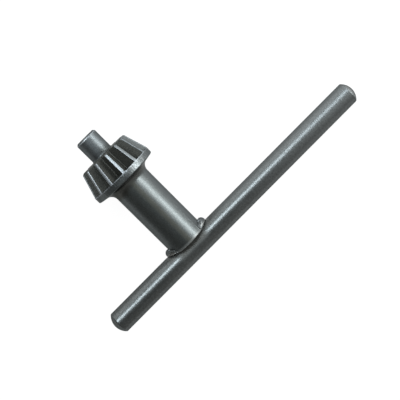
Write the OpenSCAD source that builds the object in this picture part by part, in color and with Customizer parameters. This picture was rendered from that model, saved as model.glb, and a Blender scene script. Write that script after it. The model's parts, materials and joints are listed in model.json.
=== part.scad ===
// Drill chuck key: pilot, bevel pinion, collar and shank in one piece, with a round handle bar
// welded across the end. Units are millimetres.
// It lies as it comes to rest on a flat surface at Z = 0: on the back rim of the collar, the lower
// edge of the shank's end and the tip of the long arm. X runs from the handle to the pilot, Y along
// the handle to the tip of the short arm.

/* [Handle] */
// Diameter of the handle bar
handle_d = 6; // [5.6:0.1:6.4]
// Long arm, from the shank's axis to the tip
arm_long = 56; // [46:0.2:64]
// Short arm, from the shank's axis to the tip
arm_short = 28.1; // [20:0.1:36]
// Radius of the domed ends of the bar
dome_r = 4; // [3.6:0.1:8]

/* [Shank] */
// Diameter of the shank
shank_d = 10.4; // [9.6:0.1:11.2]
// Distance from the handle's axis to the end face of the shank
end_s = 2.2; // [1.8:0.05:2.2]
// Distance from the handle's axis to the back of the ears
ear_back_s = 4.4; // [4.35:0.05:5]
// Radius of the ears' back, which curves round the bar
ear_back_r = 5.4; // [4.6:0.1:6.4]
// Width of the ears across the handle
lip_w = 7.2; // [6.4:0.1:8]
// Length over both ears, along the handle
lip_len = 13.3; // [12.4:0.1:14.4]
// Edge radius at the back of the ears
lip_back_r = 1.1; // [0.6:0.05:1.2]
// Edge radius on the ears' end
lip_end_r = 0.35; // [0.2:0.05:0.5]
// Radius of the ears' end face, which curves away from the bar
ear_end_r = 22; // [18:1:40]
// Edge radius on the shank's end
shank_end_r = 0.3; // [0.15:0.05:0.6]

/* [Collar] */
// Diameter of the collar
collar_d = 18; // [17.2:0.1:19]
// Distance from the handle's axis to the back rim of the collar
collar_back_s = 24.5; // [21:0.1:24.9]
// Slope of the collar's back face
collar_back_angle = 11; // [0:0.5:12]
// Fillet between the shank and the collar
collar_fillet_r = 2.1; // [0.8:0.1:2.2]
// Edge radius on the back rim
collar_rim_r = 0.3; // [0.1:0.05:0.5]

/* [Pinion] */
// Number of teeth
teeth = 13; // [12:1:14]
// Distance from the handle's axis to the large end of the teeth
heel_s = 26.2; // [25.6:0.1:27.6]
// Length of the teeth along the axis
face_len = 6.2; // [5:0.05:7.5]
// Diameter over the teeth at the small end
toe_d = 14.2; // [13.6:0.1:14.6]
// Diameter at the bottom of the gaps, at the large end
root_heel_d = 12.1; // [11.4:0.1:12.6]
// Diameter at the bottom of the gaps, at the small end
root_toe_d = 9.7; // [9:0.1:10]
// Slope of the flanks from the middle of a gap
flank_angle = 30.5; // [26:0.5:31.5]
// Width of the flat at the bottom of a gap
root_flat = 0.3; // [0.1:0.05:0.5]
// Chamfer on the small end of the teeth
toe_chamfer = 0.25; // [0.1:0.05:0.4]
// Turn of the teeth about the shank
tooth_turn = 4; // [-14:0.5:14]

/* [Pilot] */
// Diameter of the pilot
pilot_d = 6; // [5:0.1:6.6]
// Length of the pilot from the small end of the teeth
pilot_len = 6.15; // [4.5:0.05:8]
// Chamfer on the pilot's tip
pilot_chamfer = 0.45; // [0.2:0.05:0.8]
// Fillet at the pilot's base
pilot_fillet_r = 0.5; // [0.2:0.05:0.6]

/* [Hidden] */
$fn = 96;
overlap = 0.5;

handle_r = handle_d / 2;
shank_r = shank_d / 2;
collar_r = collar_d / 2;
toe_r = toe_d / 2;
pilot_r = pilot_d / 2;

// Stations along the shank
toe_s = heel_s + face_len;
tip_s = toe_s + pilot_len;

// Back face of the collar: the fillet and the rim radius both touch its slope
back_tan = tan(collar_back_angle);
back_sin = sin(collar_back_angle);
back_cos = cos(collar_back_angle);
fillet_edge_r = shank_r + collar_fillet_r * (1 - back_sin);
fillet_edge_s = collar_back_s - (collar_r - fillet_edge_r) * back_tan;
fillet_s = fillet_edge_s - collar_fillet_r * back_cos;
rim_edge_r = collar_r - collar_rim_r * (1 - back_sin);
rim_edge_s = collar_back_s - (collar_r - rim_edge_r) * back_tan;
rim_s = rim_edge_s + collar_rim_r * back_cos;

// Face cone of the teeth
face_slope = (collar_r - toe_r) / face_len;

// Ears: a disc of this radius at each end of a straight middle
lip_r = lip_w / 2;
lip_half = (lip_len - lip_w) / 2;

// Domed ends of the bar
dome_h = dome_r - sqrt(dome_r * dome_r - handle_r * handle_r);
rim_long = arm_long - dome_h;
rim_short = arm_short - dome_h;

// Rest pose: pitch lifts the pilot, roll lowers the long arm
touch_run = rim_s - end_s - shank_end_r;
touch_rise = (collar_r - collar_rim_r) - (shank_r - shank_end_r);
touch_edge = collar_rim_r - shank_end_r;
pitch = atan(touch_rise / touch_run) + asin(touch_edge / norm([touch_run, touch_rise]));
function axis_height(p) = (collar_r - collar_rim_r) * cos(p) + collar_rim_r - rim_s * sin(p);
function drop_for(p) = sin(asin(axis_height(p) / norm([rim_long, handle_r])) - atan(handle_r / rim_long));
roll = asin(drop_for(pitch) / cos(pitch));

// Middle of the box round the key as it lies, from the handle's axis
x_across = sin(roll) * sin(pitch);
x_max = tip_s * cos(pitch) + (pilot_r - pilot_chamfer) * sin(pitch);
x_min = -rim_short * x_across - handle_r * sqrt(1 - x_across * x_across);
mid_x = (x_max + x_min) / 2;
mid_y = (arm_short - arm_long) * cos(roll) / 2;
rest_z = axis_height(pitch);

module at_rest() {
    translate([-mid_x, -mid_y, rest_z]) rotate([roll, -pitch, 0]) children();
}

// Half section of the turned blank: radius across, distance from the handle's axis up
module blank_section() {
    difference() {
        union() {
            translate([0, end_s]) square([shank_r - shank_end_r, shank_end_r * 2]);
            translate([0, end_s + shank_end_r]) square([shank_r, heel_s - end_s - shank_end_r]);
            translate([shank_r - shank_end_r, end_s + shank_end_r]) circle(r = shank_end_r);
            polygon([[0, fillet_s], [shank_r + collar_fillet_r, fillet_s],
                [fillet_edge_r, fillet_edge_s], [0, fillet_edge_s]]);
            polygon([[0, fillet_edge_s], [fillet_edge_r, fillet_edge_s], [rim_edge_r, rim_edge_s],
                [collar_r - collar_rim_r, rim_s], [collar_r, rim_s], [collar_r, heel_s],
                [toe_r + toe_chamfer * face_slope, toe_s - toe_chamfer], [toe_r - toe_chamfer, toe_s],
                [0, toe_s]]);
            polygon([[0, heel_s], [pilot_r, heel_s], [pilot_r, tip_s - pilot_chamfer],
                [pilot_r - pilot_chamfer, tip_s], [0, tip_s]]);
            translate([collar_r - collar_rim_r, rim_s]) circle(r = collar_rim_r);
            translate([pilot_r - overlap, toe_s - overlap])
                square([pilot_fillet_r + overlap, pilot_fillet_r + overlap]);
        }
        translate([shank_r + collar_fillet_r, fillet_s]) circle(r = collar_fillet_r);
        translate([pilot_r + pilot_fillet_r, toe_s + pilot_fillet_r]) circle(r = pilot_fillet_r);
    }
}

module blank() {
    rotate([0, 90, 0]) rotate_extrude() blank_section();
}

// Half section of the ears' end outline, with both edges rounded
module lip_section() {
    translate([0, end_s]) square([lip_r - lip_end_r, ear_back_s - end_s - lip_back_r]);
    translate([0, end_s + lip_end_r]) square([lip_r, ear_back_s - lip_back_r - end_s - lip_end_r]);
    translate([0, end_s + lip_end_r]) square([lip_r - lip_back_r, ear_back_s - end_s - lip_end_r]);
    translate([lip_r - lip_back_r, ear_back_s - lip_back_r]) circle(r = lip_back_r);
    translate([lip_r - lip_end_r, end_s + lip_end_r]) circle(r = lip_end_r);
}

module end_disc() {
    for (side = [-1, 1])
        translate([0, side * lip_half, 0]) rotate([0, 90, 0]) rotate_extrude() lip_section();
    translate([0, lip_half, 0]) rotate([90, 0, 0]) linear_extrude(lip_half * 2) rotate([0, 0, -90]) {
        lip_section();
        mirror([1, 0]) lip_section();
    }
}

// Metal pressed out along the bar: the end disc, cut to a back that curves round the bar and an
// end face that curves away from it
module ears() {
    intersection() {
        end_disc();
        translate([ear_back_s - ear_back_r, lip_len, 0]) rotate([90, 0, 0])
            cylinder(r = ear_back_r, h = lip_len * 2);
        translate([end_s + ear_end_r, 0, -lip_w]) cylinder(r = ear_end_r, h = lip_w * 2);
    }
}

// One tooth gap: a V with a narrow flat, along its root line
root_angle = atan((root_heel_d - root_toe_d) / 2 / face_len);
gap_h = collar_r - root_toe_d / 2 + 1;
gap_half = root_flat / 2 + gap_h * tan(flank_angle);
gap_run = face_len / cos(root_angle);

module tooth_gap() {
    translate([heel_s, 0, root_heel_d / 2]) rotate([0, 90 + root_angle, 0]) rotate([0, 0, 90])
        translate([0, 0, -1]) linear_extrude(gap_run + 3)
            polygon([[-root_flat / 2, 0], [root_flat / 2, 0], [gap_half, gap_h], [-gap_half, gap_h]]);
}

module tooth_gaps() {
    intersection() {
        for (i = [0 : teeth - 1])
            rotate([tooth_turn + (i + 0.5) * 360 / teeth, 0, 0]) tooth_gap();
        translate([heel_s, 0, 0]) rotate([0, 90, 0]) cylinder(r = collar_r + 2, h = face_len + 1);
    }
}

module pinion_shank() {
    color("dimgray") at_rest() difference() {
        union() {
            blank();
            ears();
        }
        tooth_gaps();
        translate([0, lip_len, 0]) rotate([90, 0, 0]) cylinder(r = handle_r, h = lip_len * 2);
    }
}

// Half section of the bar: radius across, distance along the long arm up
module bar_section() {
    translate([0, -rim_short]) square([handle_r, rim_short + rim_long]);
    intersection() {
        translate([0, arm_long - dome_r]) circle(r = dome_r);
        translate([0, rim_long - overlap]) square([handle_r, dome_h + 2 * overlap]);
    }
    intersection() {
        translate([0, dome_r - arm_short]) circle(r = dome_r);
        translate([0, -arm_short - overlap]) square([handle_r, dome_h + 2 * overlap]);
    }
}

module handle_bar() {
    color("slategray") at_rest() rotate([90, 0, 0]) rotate_extrude() bar_section();
}

pinion_shank();
handle_bar();
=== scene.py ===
import json
from math import cos, pi, radians, sin

import bpy
from mathutils import Matrix, Vector

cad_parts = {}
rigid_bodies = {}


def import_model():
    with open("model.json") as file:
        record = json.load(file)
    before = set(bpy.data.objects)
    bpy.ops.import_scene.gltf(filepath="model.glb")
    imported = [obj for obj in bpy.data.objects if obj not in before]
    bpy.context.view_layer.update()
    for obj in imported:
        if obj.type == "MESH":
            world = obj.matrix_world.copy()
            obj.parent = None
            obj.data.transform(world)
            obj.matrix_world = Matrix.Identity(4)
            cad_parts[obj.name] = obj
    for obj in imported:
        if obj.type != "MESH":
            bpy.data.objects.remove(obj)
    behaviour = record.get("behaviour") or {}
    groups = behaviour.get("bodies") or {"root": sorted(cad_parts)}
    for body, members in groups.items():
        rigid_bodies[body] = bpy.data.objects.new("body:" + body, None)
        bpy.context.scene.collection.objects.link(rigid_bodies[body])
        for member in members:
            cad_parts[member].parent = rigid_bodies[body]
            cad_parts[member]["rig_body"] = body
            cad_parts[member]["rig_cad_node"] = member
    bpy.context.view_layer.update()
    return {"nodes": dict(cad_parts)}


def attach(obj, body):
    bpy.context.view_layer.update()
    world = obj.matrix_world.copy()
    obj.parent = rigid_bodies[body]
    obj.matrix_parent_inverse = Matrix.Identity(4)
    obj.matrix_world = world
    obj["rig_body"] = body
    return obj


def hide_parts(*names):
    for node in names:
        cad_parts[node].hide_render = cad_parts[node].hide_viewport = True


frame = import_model()
bpy.ops.object.select_all(action="DESELECT")


# Studio: a white table seen from almost straight above. A long soft tube hangs over the table
# beside the bar, a wide window stands low past the long arm, and pale walls fill the near sides.

scene = bpy.context.scene
scene.view_settings.view_transform = "Standard"

camera = bpy.data.objects.new("camera", bpy.data.cameras.new("camera"))
scene.collection.objects.link(camera)
camera.data.sensor_width = 36.0
camera.data.lens = 90.0
camera.data.clip_start = 0.01
camera.location = (-0.01859, 0.00480, 0.25513)
camera.rotation_euler = (radians(1.346), radians(1.341), radians(225.136))
scene.camera = camera


def soft_lamp(name, towards, distance, along, length, width, radiance, colour):
    """A rectangular lamp facing the key from one direction, its length laid along another."""
    lamp = bpy.data.lights.new(name, "AREA")
    lamp.shape = "RECTANGLE"
    lamp.size, lamp.size_y = length, width
    lamp.energy = radiance * pi * length * width
    lamp.color = colour
    back = Vector(towards).normalized()
    side = Vector(along)
    side = (side - back * side.dot(back)).normalized()
    holder = bpy.data.objects.new(name, lamp)
    scene.collection.objects.link(holder)
    holder.matrix_world = Matrix.Translation(back * distance) @ Matrix(
        (side, back.cross(side), back)).transposed().to_4x4()


soft_lamp("tube", (0.375, -0.02, 1.0), 0.50, (0, 1, 0), 0.46, 0.120, 15.2, (0.85, 0.935, 1.0))
soft_lamp("window", (-0.42, -1.40, 1.0), 0.60, (1, 0, 0), 0.50, 0.15, 13.5, (0.945, 0.985, 1.0))
soft_lamp("window_top", (-0.27, -0.82, 1.0), 0.60, (1, 0, 0), 0.30, 0.24, 3.0, (0.96, 0.99, 1.0))
soft_lamp("pilot_wall", (1.0, -0.30, 0.45), 0.60, (0, 1, 0), 1.00, 0.50, 1.92, (0.955, 0.98, 1.0))
soft_lamp("arm_wall", (0.1, -1.0, 0.22), 0.60, (1, 0, 0), 0.90, 0.30, 2.4, (0.975, 0.995, 1.0))
soft_lamp("handle_wall", (-1.0, -0.50, 0.55), 0.60, (0, 1, 0), 0.90, 0.60, 0.28, (1.0, 0.99, 0.97))

world = bpy.data.worlds.new("room")
scene.world = world
world.use_nodes = True
world.node_tree.nodes["Background"].inputs["Color"].default_value = (0.985, 1.0, 0.985, 1.0)
world.node_tree.nodes["Background"].inputs["Strength"].default_value = 0.26


class Wire:
    """One socket of a material's node tree, so that shader maths reads as plain expressions."""

    def __init__(self, tree, socket):
        self.tree, self.socket = tree, socket

    def node(self, kind, settings=None, values=None, out=0):
        made = self.tree.nodes.new("ShaderNode" + kind)
        for key, value in (settings or {}).items():
            if key == "stops":
                ramp = made.color_ramp
                while len(ramp.elements) < len(value):
                    ramp.elements.new(0.5)
                for element, (place, colour) in zip(ramp.elements, value):
                    element.position, element.color = place, (*colour, 1.0)
            else:
                setattr(made, key, value)
        for key, value in (values or {}).items():
            if isinstance(value, Wire):
                self.tree.links.new(value.socket, made.inputs[key])
            else:
                made.inputs[key].default_value = value
        return Wire(self.tree, made.outputs[out])

    def maths(self, operation, *others, clamp=False):
        return self.node("Math", {"operation": operation, "use_clamp": clamp},
                         dict(enumerate((self, *others))))

    def __add__(self, other): return self.maths("ADD", other)
    def __radd__(self, other): return self.maths("ADD", other)
    def __mul__(self, other): return self.maths("MULTIPLY", other)
    def __rmul__(self, other): return self.maths("MULTIPLY", other)
    def __truediv__(self, other): return self.maths("DIVIDE", other)
    def __sub__(self, other): return self.maths("SUBTRACT", other)
    def __neg__(self): return self.maths("MULTIPLY", -1.0)

    def __rsub__(self, other):
        return self.node("Math", {"operation": "SUBTRACT"}, {0: other, 1: self})

    def least(self, other): return self.maths("MINIMUM", other)
    def most(self, other): return self.maths("MAXIMUM", other)

    def rise(self, low, high):
        """0 below low, 1 above high and a smooth step between them."""
        return self.node("MapRange", {"interpolation_type": "SMOOTHSTEP"},
                         {"Value": self, "From Min": low, "From Max": high})

    def fall(self, low, high):
        return 1.0 - self.rise(low, high)

    def blend(self, first, second):
        """A colour that goes from first to second as this value goes from 0 to 1."""
        colours = [c if isinstance(c, Wire) else (*c, 1.0) for c in (first, second)]
        return self.node("Mix", {"data_type": "RGBA"}, {0: self, 6: colours[0], 7: colours[1]}, out=2)

    def noise(self, scale, detail=3.0, roughness=0.55):
        return self.node("TexNoise", None, {"Vector": self, "Scale": scale, "Detail": detail,
                                            "Roughness": roughness}, out=0)


def new_material(name):
    """A material with its shader, the shader's tree and a wire to Object coordinates."""
    material = bpy.data.materials.new(name)
    material.use_nodes = True
    tree = material.node_tree
    place = Wire(tree, tree.nodes.new("ShaderNodeTexCoord").outputs["Object"])
    return material, tree.nodes["Principled BSDF"], place


bpy.ops.mesh.primitive_plane_add(size=3.0, location=(0.0, 0.0, 0.0))
table = bpy.context.object
table.name = "table"
bpy.ops.object.select_all(action="DESELECT")
table_paper, paper, _ = new_material("table_paper")
paper.inputs["Base Color"].default_value = (0.82, 0.82, 0.82, 1.0)
paper.inputs["Roughness"].default_value = 1.0
paper.inputs["Specular IOR Level"].default_value = 0.0
paper_tree = table_paper.node_tree
ray = paper_tree.nodes.new("ShaderNodeLightPath")
seen = Wire(paper_tree, ray.outputs["Is Camera Ray"])
seen = seen.most(Wire(paper_tree, ray.outputs["Is Glossy Ray"]))
seen = seen.most(Wire(paper_tree, ray.outputs["Is Transmission Ray"]))
white = seen.node("Emission", None, {"Color": (1.0, 1.0, 1.0, 1.0), "Strength": 1.03})
mixed = seen.node("MixShader", None, {
    0: seen * 0.93, 1: Wire(paper_tree, paper.outputs[0]), 2: white})
paper_tree.links.new(mixed.socket, paper_tree.nodes["Material Output"].inputs["Surface"])
table.data.materials.append(table_paper)


# Pinion and shank: one forging of dark tool steel, turned all over. The bevel teeth are cut into
# the blank, the end is pressed over the bar, and the sharp edges of teeth and pilot are softly
# broken. Its colour holds light wear and painted highlights on edges, painted light on one flank,
# the ears and the pressed end, and painted shade under the collar and along the shaded side.

PITCH = radians(9.6930)                                   # the pilot rests this much raised
ROLL = radians(1.8198)                                    # and the long arm this much lowered
AXES_MEET = (-0.0176430, 0.0139430, 0.0047091)            # where the shank's axis meets the bar's
MM = 0.001


def along_the_key(place):
    """Millimetres along the shank, along the bar and across both, from where the axes meet."""
    turned = place.node("Mapping", {"vector_type": "TEXTURE"}, {
        "Vector": place, "Location": AXES_MEET, "Rotation": (ROLL, -PITCH, 0.0),
        "Scale": (MM, MM, MM)})
    split = place.tree.nodes.new("ShaderNodeSeparateXYZ")
    place.tree.links.new(turned.socket, split.inputs[0])
    return [turned] + [Wire(place.tree, split.outputs[i]) for i in range(3)]


def broken_edges(node, name, width, start):
    """A merged copy of a CAD node, its sharp edges past start (mm along the key) rounded."""
    piece = frame["nodes"][node].copy()
    piece.data = piece.data.copy()
    piece.name = name
    piece.parent = None
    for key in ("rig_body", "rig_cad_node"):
        del piece[key]
    piece.data.materials.clear()
    scene.collection.objects.link(piece)
    bpy.context.view_layer.objects.active = piece
    piece.select_set(True)
    bpy.ops.object.mode_set(mode="EDIT")
    bpy.ops.mesh.select_mode(type="EDGE")
    bpy.ops.mesh.select_all(action="SELECT")
    bpy.ops.mesh.remove_doubles(threshold=1e-6)
    bpy.ops.mesh.dissolve_limited(angle_limit=radians(0.2))
    bpy.ops.mesh.select_all(action="DESELECT")
    bpy.ops.mesh.edges_select_sharp(sharpness=radians(25.0))
    bpy.ops.object.mode_set(mode="OBJECT")
    along = Vector((cos(PITCH), 0.0, sin(PITCH)))
    corners = piece.data.vertices
    rounded = piece.data.attributes.new("bevel_weight_edge", "FLOAT", "EDGE")
    for edge in piece.data.edges:
        middle = (corners[edge.vertices[0]].co + corners[edge.vertices[1]].co) / 2.0
        if edge.select and (middle - Vector(AXES_MEET)).dot(along) > start * MM:
            rounded.data[edge.index].value = 1.0
    bevel = piece.modifiers.new("broken_edges", "BEVEL")
    bevel.width = width
    bevel.segments = 3
    bevel.limit_method = "WEIGHT"
    bevel.use_clamp_overlap = False
    bpy.ops.object.modifier_apply(modifier=bevel.name)
    bpy.ops.object.shade_smooth_by_angle(angle=radians(16.0))
    normals = piece.modifiers.new("broad_faces_first", "WEIGHTED_NORMAL")
    normals.keep_sharp = True
    bpy.ops.object.modifier_apply(modifier=normals.name)
    piece.select_set(False)
    return piece


def satin_steel(name):
    """Dark satin steel with a grey edge tint; each part adds its own fine grain and cloudy oxide."""
    material, shader, place = new_material(name)
    shader.inputs["Metallic"].default_value = 1.0
    shader.inputs["Specular Tint"].default_value = (0.45, 0.46, 0.46, 1.0)
    return material, shader, along_the_key(place)


COLLAR_R, TOE_R, HEEL_S = 9.0, 7.1, 26.2
TOE_S, TIP_S = 32.4, 38.55
PITCH_TURNS, TOOTH_TURNS = 13.0, 4.0 / 360.0

shank_steel, shader, (key_mm, s, b, n) = satin_steel("pinion_steel")
r = (b * b + n * n).maths("SQRT")
crest = COLLAR_R - (s - HEEL_S) * ((COLLAR_R - TOE_R) / (TOE_S - HEEL_S))
below_crest = crest - r
in_teeth = s.rise(HEEL_S - 0.02, HEEL_S + 0.06) * s.fall(TOE_S + 0.05, TOE_S + 0.15)
round_key = (-b).maths("ARCTAN2", n) / (2.0 * pi)
across = ((round_key - TOOTH_TURNS) * PITCH_TURNS + 0.5).maths("FRACT") - 0.5
in_gap = in_teeth * below_crest.rise(0.14, 0.26)
# Tooth-tip wear: lighter crests as real wear, shaped into painted highlights that favour each tooth's edge
# towards the top and fade on the long arm's side and along the top of the toe half.
tooth_wear_and_highlight = in_teeth * below_crest.fall(0.05, 0.14)
towards_top = across * (-round_key).maths("SIGN")
tooth_wear_and_highlight = tooth_wear_and_highlight * (0.30 + 0.70 * towards_top.rise(-0.02, 0.03)) * (1.0 - 0.5 * round_key.rise(0.03, 0.08))
toe_half = s.rise(28.0, 32.0)
tooth_wear_and_highlight = tooth_wear_and_highlight * (1.0 - 0.35 * toe_half * round_key.rise(-0.03, -0.01) * round_key.fall(0.03, 0.05))
heel_edge = s.rise(HEEL_S - 0.30, HEEL_S - 0.12) * s.fall(HEEL_S + 0.02, HEEL_S + 0.12) * r.rise(COLLAR_R - 0.3, COLLAR_R - 0.12)
clouds = key_mm.noise(0.55, 4.0)
grain = key_mm.noise(5.0, 2.0)
speckle = key_mm.noise(2.2, 3.0)
on_collar = s.rise(24.4, 24.9) * s.fall(HEEL_S - 0.1, HEEL_S) * r.rise(COLLAR_R - 0.4, COLLAR_R - 0.1)
on_pilot = s.rise(TOE_S - 0.1, TOE_S + 0.1)
# Painted shade: the pilot darkens towards the toe face, most on the long arm's side.
pilot_foot_painted_shade = on_pilot * s.fall(TOE_S + 0.7, TOE_S + 2.2) * (0.35 + 0.65 * round_key.rise(-0.04, 0.02))
tip_rim = s.rise(TIP_S - 0.70, TIP_S - 0.52) * s.fall(TIP_S - 0.46, TIP_S - 0.30)
tone = clouds.blend((0.072, 0.080, 0.080), (0.100, 0.109, 0.108))
tone = on_pilot.blend(tone, (0.098, 0.108, 0.112))
tone = (0.85 * pilot_foot_painted_shade).blend(tone, (0.030, 0.032, 0.030))
# Lighter specks on the collar: mottle kept to the long arm's side, as a painted highlight.
tone = (on_collar * speckle.rise(0.42, 0.60) * round_key.rise(0.0, 0.08)).blend(tone, (0.165, 0.176, 0.178))
shaded_rim = on_collar * round_key.rise(-0.08, -0.03) * round_key.fall(-0.01, 0.03)
tone = (0.7 * shaded_rim).blend(tone, (0.056, 0.061, 0.058))
tone = (0.8 * grain.rise(0.50, 0.66)).blend(tone, (0.120, 0.128, 0.128))
tone = (0.7 * grain.fall(0.34, 0.48)).blend(tone, (0.056, 0.062, 0.062))
# Painted light: the pressed end and ears, within 3 mm of the bar's axis, are lighter and partly diffuse,
# lifting their shade.
ear_end_painted_light = s.fall(2.5, 3.1)
# Lighter crests, heel edge and pilot tip rim: real edge wear together with painted highlights, lighter still
# on the short arm's side of the toe half.
wear_and_painted_highlight = tooth_wear_and_highlight.most(heel_edge * speckle.rise(0.36, 0.50)).most(tip_rim * speckle.rise(0.42, 0.52))
tone = wear_and_painted_highlight.blend(tone, (toe_half * round_key.fall(-0.09, -0.04)).blend(
    (0.22, 0.235, 0.245), (0.30, 0.32, 0.33)))
glint = tip_rim * round_key.rise(-0.10, -0.06) * round_key.fall(-0.02, 0.03)
tone = glint.blend(tone, (0.40, 0.42, 0.43))
tone = in_gap.blend(tone, grain.rise(0.36, 0.62).blend((0.021, 0.022, 0.020), (0.048, 0.048, 0.041)))
lit_side = round_key.rise(-0.09, 0.0)
# Painted shade under the collar: its back fillet darkens, reaching further down the shaded side, and turns
# partly diffuse on the lit side.
painted_shade_under_collar = (s - 1.4 * lit_side).rise(20.8, 22.2) * s.fall(24.3, 24.7) * r.fall(8.2, 8.7)
# Painted shade: a darker streak along the shank's shaded side.
painted_shade_streak = round_key.rise(-0.14, -0.07) * round_key.fall(-0.03, 0.01) * s.fall(22.0, 24.0)
tone = (0.45 * painted_shade_streak).blend(tone, (0.050, 0.055, 0.050))
# Olive tint with painted light: a lighter olive band along the shank beside its highlight.
olive_tint_and_painted_light = round_key.rise(-0.02, 0.0) * round_key.fall(0.018, 0.032) * s.fall(22.0, 24.0)
tone = (0.6 * olive_tint_and_painted_light).blend(tone, (0.116, 0.117, 0.098))
# Painted light: the shank's flank on the long arm's side is lighter, less so on the pilot and in the tooth
# gaps.
painted_light_side = round_key.rise(0.115, 0.165) * round_key.fall(0.30, 0.36) * (1.0 - 0.5 * on_pilot)
painted_light_side = painted_light_side * (1.0 - in_gap * (1.0 - 0.6 * round_key.rise(0.15, 0.18)))
tone = (0.6 * painted_light_side).blend(tone, (0.150, 0.162, 0.166))
tone = (0.8 * painted_shade_under_collar).blend(tone, (0.048, 0.047, 0.042))
tone = (0.7 * ear_end_painted_light).blend(tone, (0.15, 0.155, 0.15))
# Painted highlight on the ear tips, strongest on the short arm's side.
ear_tip_painted_highlight = s.fall(3.0, 3.8) * r.rise(5.3, 6.0)
tone = (ear_tip_painted_highlight * (0.9 - 0.5 * round_key.rise(-0.05, 0.05))).blend(tone, (0.24, 0.24, 0.225))
shank_steel.node_tree.links.new(tone.socket, shader.inputs["Base Color"])
rough = 0.30 + 0.08 * grain + 0.06 * clouds + 0.20 * in_gap + 0.12 * wear_and_painted_highlight + 0.05 * on_pilot
shank_steel.node_tree.links.new(rough.socket, shader.inputs["Roughness"])
metal = 1.0 - 0.6 * in_gap - 0.15 * wear_and_painted_highlight - 0.35 * painted_shade_under_collar * lit_side - 0.3 * ear_end_painted_light
shank_steel.node_tree.links.new(metal.socket, shader.inputs["Metallic"])
bumps = grain.node("Bump", None, {"Strength": 0.12, "Distance": 0.00005, "Height": grain + 0.6 * speckle})
shank_steel.node_tree.links.new(bumps.socket, shader.inputs["Normal"])

pinion_shank = broken_edges("pinion_shank", "pinion_with_shank", 0.00012, HEEL_S + 0.1)
pinion_shank.data.materials.append(shank_steel)
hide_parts("pinion_shank")
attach(pinion_shank, "root")


# Handle bar: drawn round stock with turned, domed ends, welded across the shank's end. It is a
# shade smoother than the forging. Painted light makes it lighter towards the hand's end of the long
# arm and on its flank towards the pilot; painted shade darkens it under the shank's end, beside the
# ears and along the short arm.

bar_steel, shader, (key_mm, s, b, n) = satin_steel("bar_steel")
clouds = key_mm.noise(0.45, 4.0)
grain = key_mm.noise(5.0, 2.0)
# Painted light: the bar gets lighter towards the long arm's end, which is also a little rougher.
long_arm_painted_light = b.fall(-50.0, 0.0)
tone = clouds.blend((0.079, 0.084, 0.083), (0.105, 0.112, 0.110))
tone = long_arm_painted_light.blend(tone, (0.114, 0.121, 0.121))
# Painted shade: the short arm is darker.
tone = (0.35 * b.rise(6.0, 14.0)).blend(tone, (0.066, 0.070, 0.070))
tone = (0.35 * grain.rise(0.50, 0.66)).blend(tone, (0.120, 0.128, 0.130))
tone = (0.30 * grain.fall(0.34, 0.48)).blend(tone, (0.070, 0.075, 0.074))
# Painted highlight: a light ring round the long arm's domed end.
dome_rim_painted_highlight = b.rise(-55.6, -55.3) * b.fall(-54.9, -54.6)
speckle = key_mm.noise(2.2, 3.0)
tone = (0.35 * speckle.rise(0.50, 0.62)).blend(tone, (0.132, 0.140, 0.140))
tone = (0.35 * speckle.fall(0.38, 0.50)).blend(tone, (0.064, 0.069, 0.067))
# Painted light: the bar's flank towards the pilot is lighter along the long arm.
near_flank_painted_light = s.rise(2.2, 2.9) * b.fall(-12.0, -7.0)
tone = (0.5 * near_flank_painted_light).blend(tone, (0.150, 0.162, 0.164))
# Painted shade under the shank's end: a dark, rougher, half-metallic band across the bar.
painted_shade_under_shank = s.rise(-0.6, 1.0) * b.maths("ABSOLUTE").fall(3.4, 5.8)
tone = (0.8 * painted_shade_under_shank).blend(tone, (0.042, 0.041, 0.036))
tone = (0.8 * dome_rim_painted_highlight * clouds.rise(0.35, 0.55)).blend(tone, (0.24, 0.25, 0.25))
rough = 0.315 + 0.02 * clouds + 0.085 * long_arm_painted_light + 0.20 * painted_shade_under_shank
bar_steel.node_tree.links.new(rough.socket, shader.inputs["Roughness"])
# Painted shade beside the ears, made half diffuse so that it is not black.
crevice_painted_shade = s.rise(1.5, 2.2) * b.maths("ABSOLUTE").fall(6.8, 7.6)
tone = (0.7 * crevice_painted_shade).blend(tone, (0.062, 0.062, 0.056))
metal = 1.0 - 0.5 * painted_shade_under_shank.most(crevice_painted_shade)
bar_steel.node_tree.links.new(tone.socket, shader.inputs["Base Color"])
bar_steel.node_tree.links.new(metal.socket, shader.inputs["Metallic"])
bumps = grain.node("Bump", None, {"Strength": 0.03, "Distance": 0.00004, "Height": grain})
bar_steel.node_tree.links.new(bumps.socket, shader.inputs["Normal"])

handle_bar = broken_edges("handle_bar", "handle", 0.00015, -10.0)
handle_bar.data.materials.append(bar_steel)
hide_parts("handle_bar")
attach(handle_bar, "root")
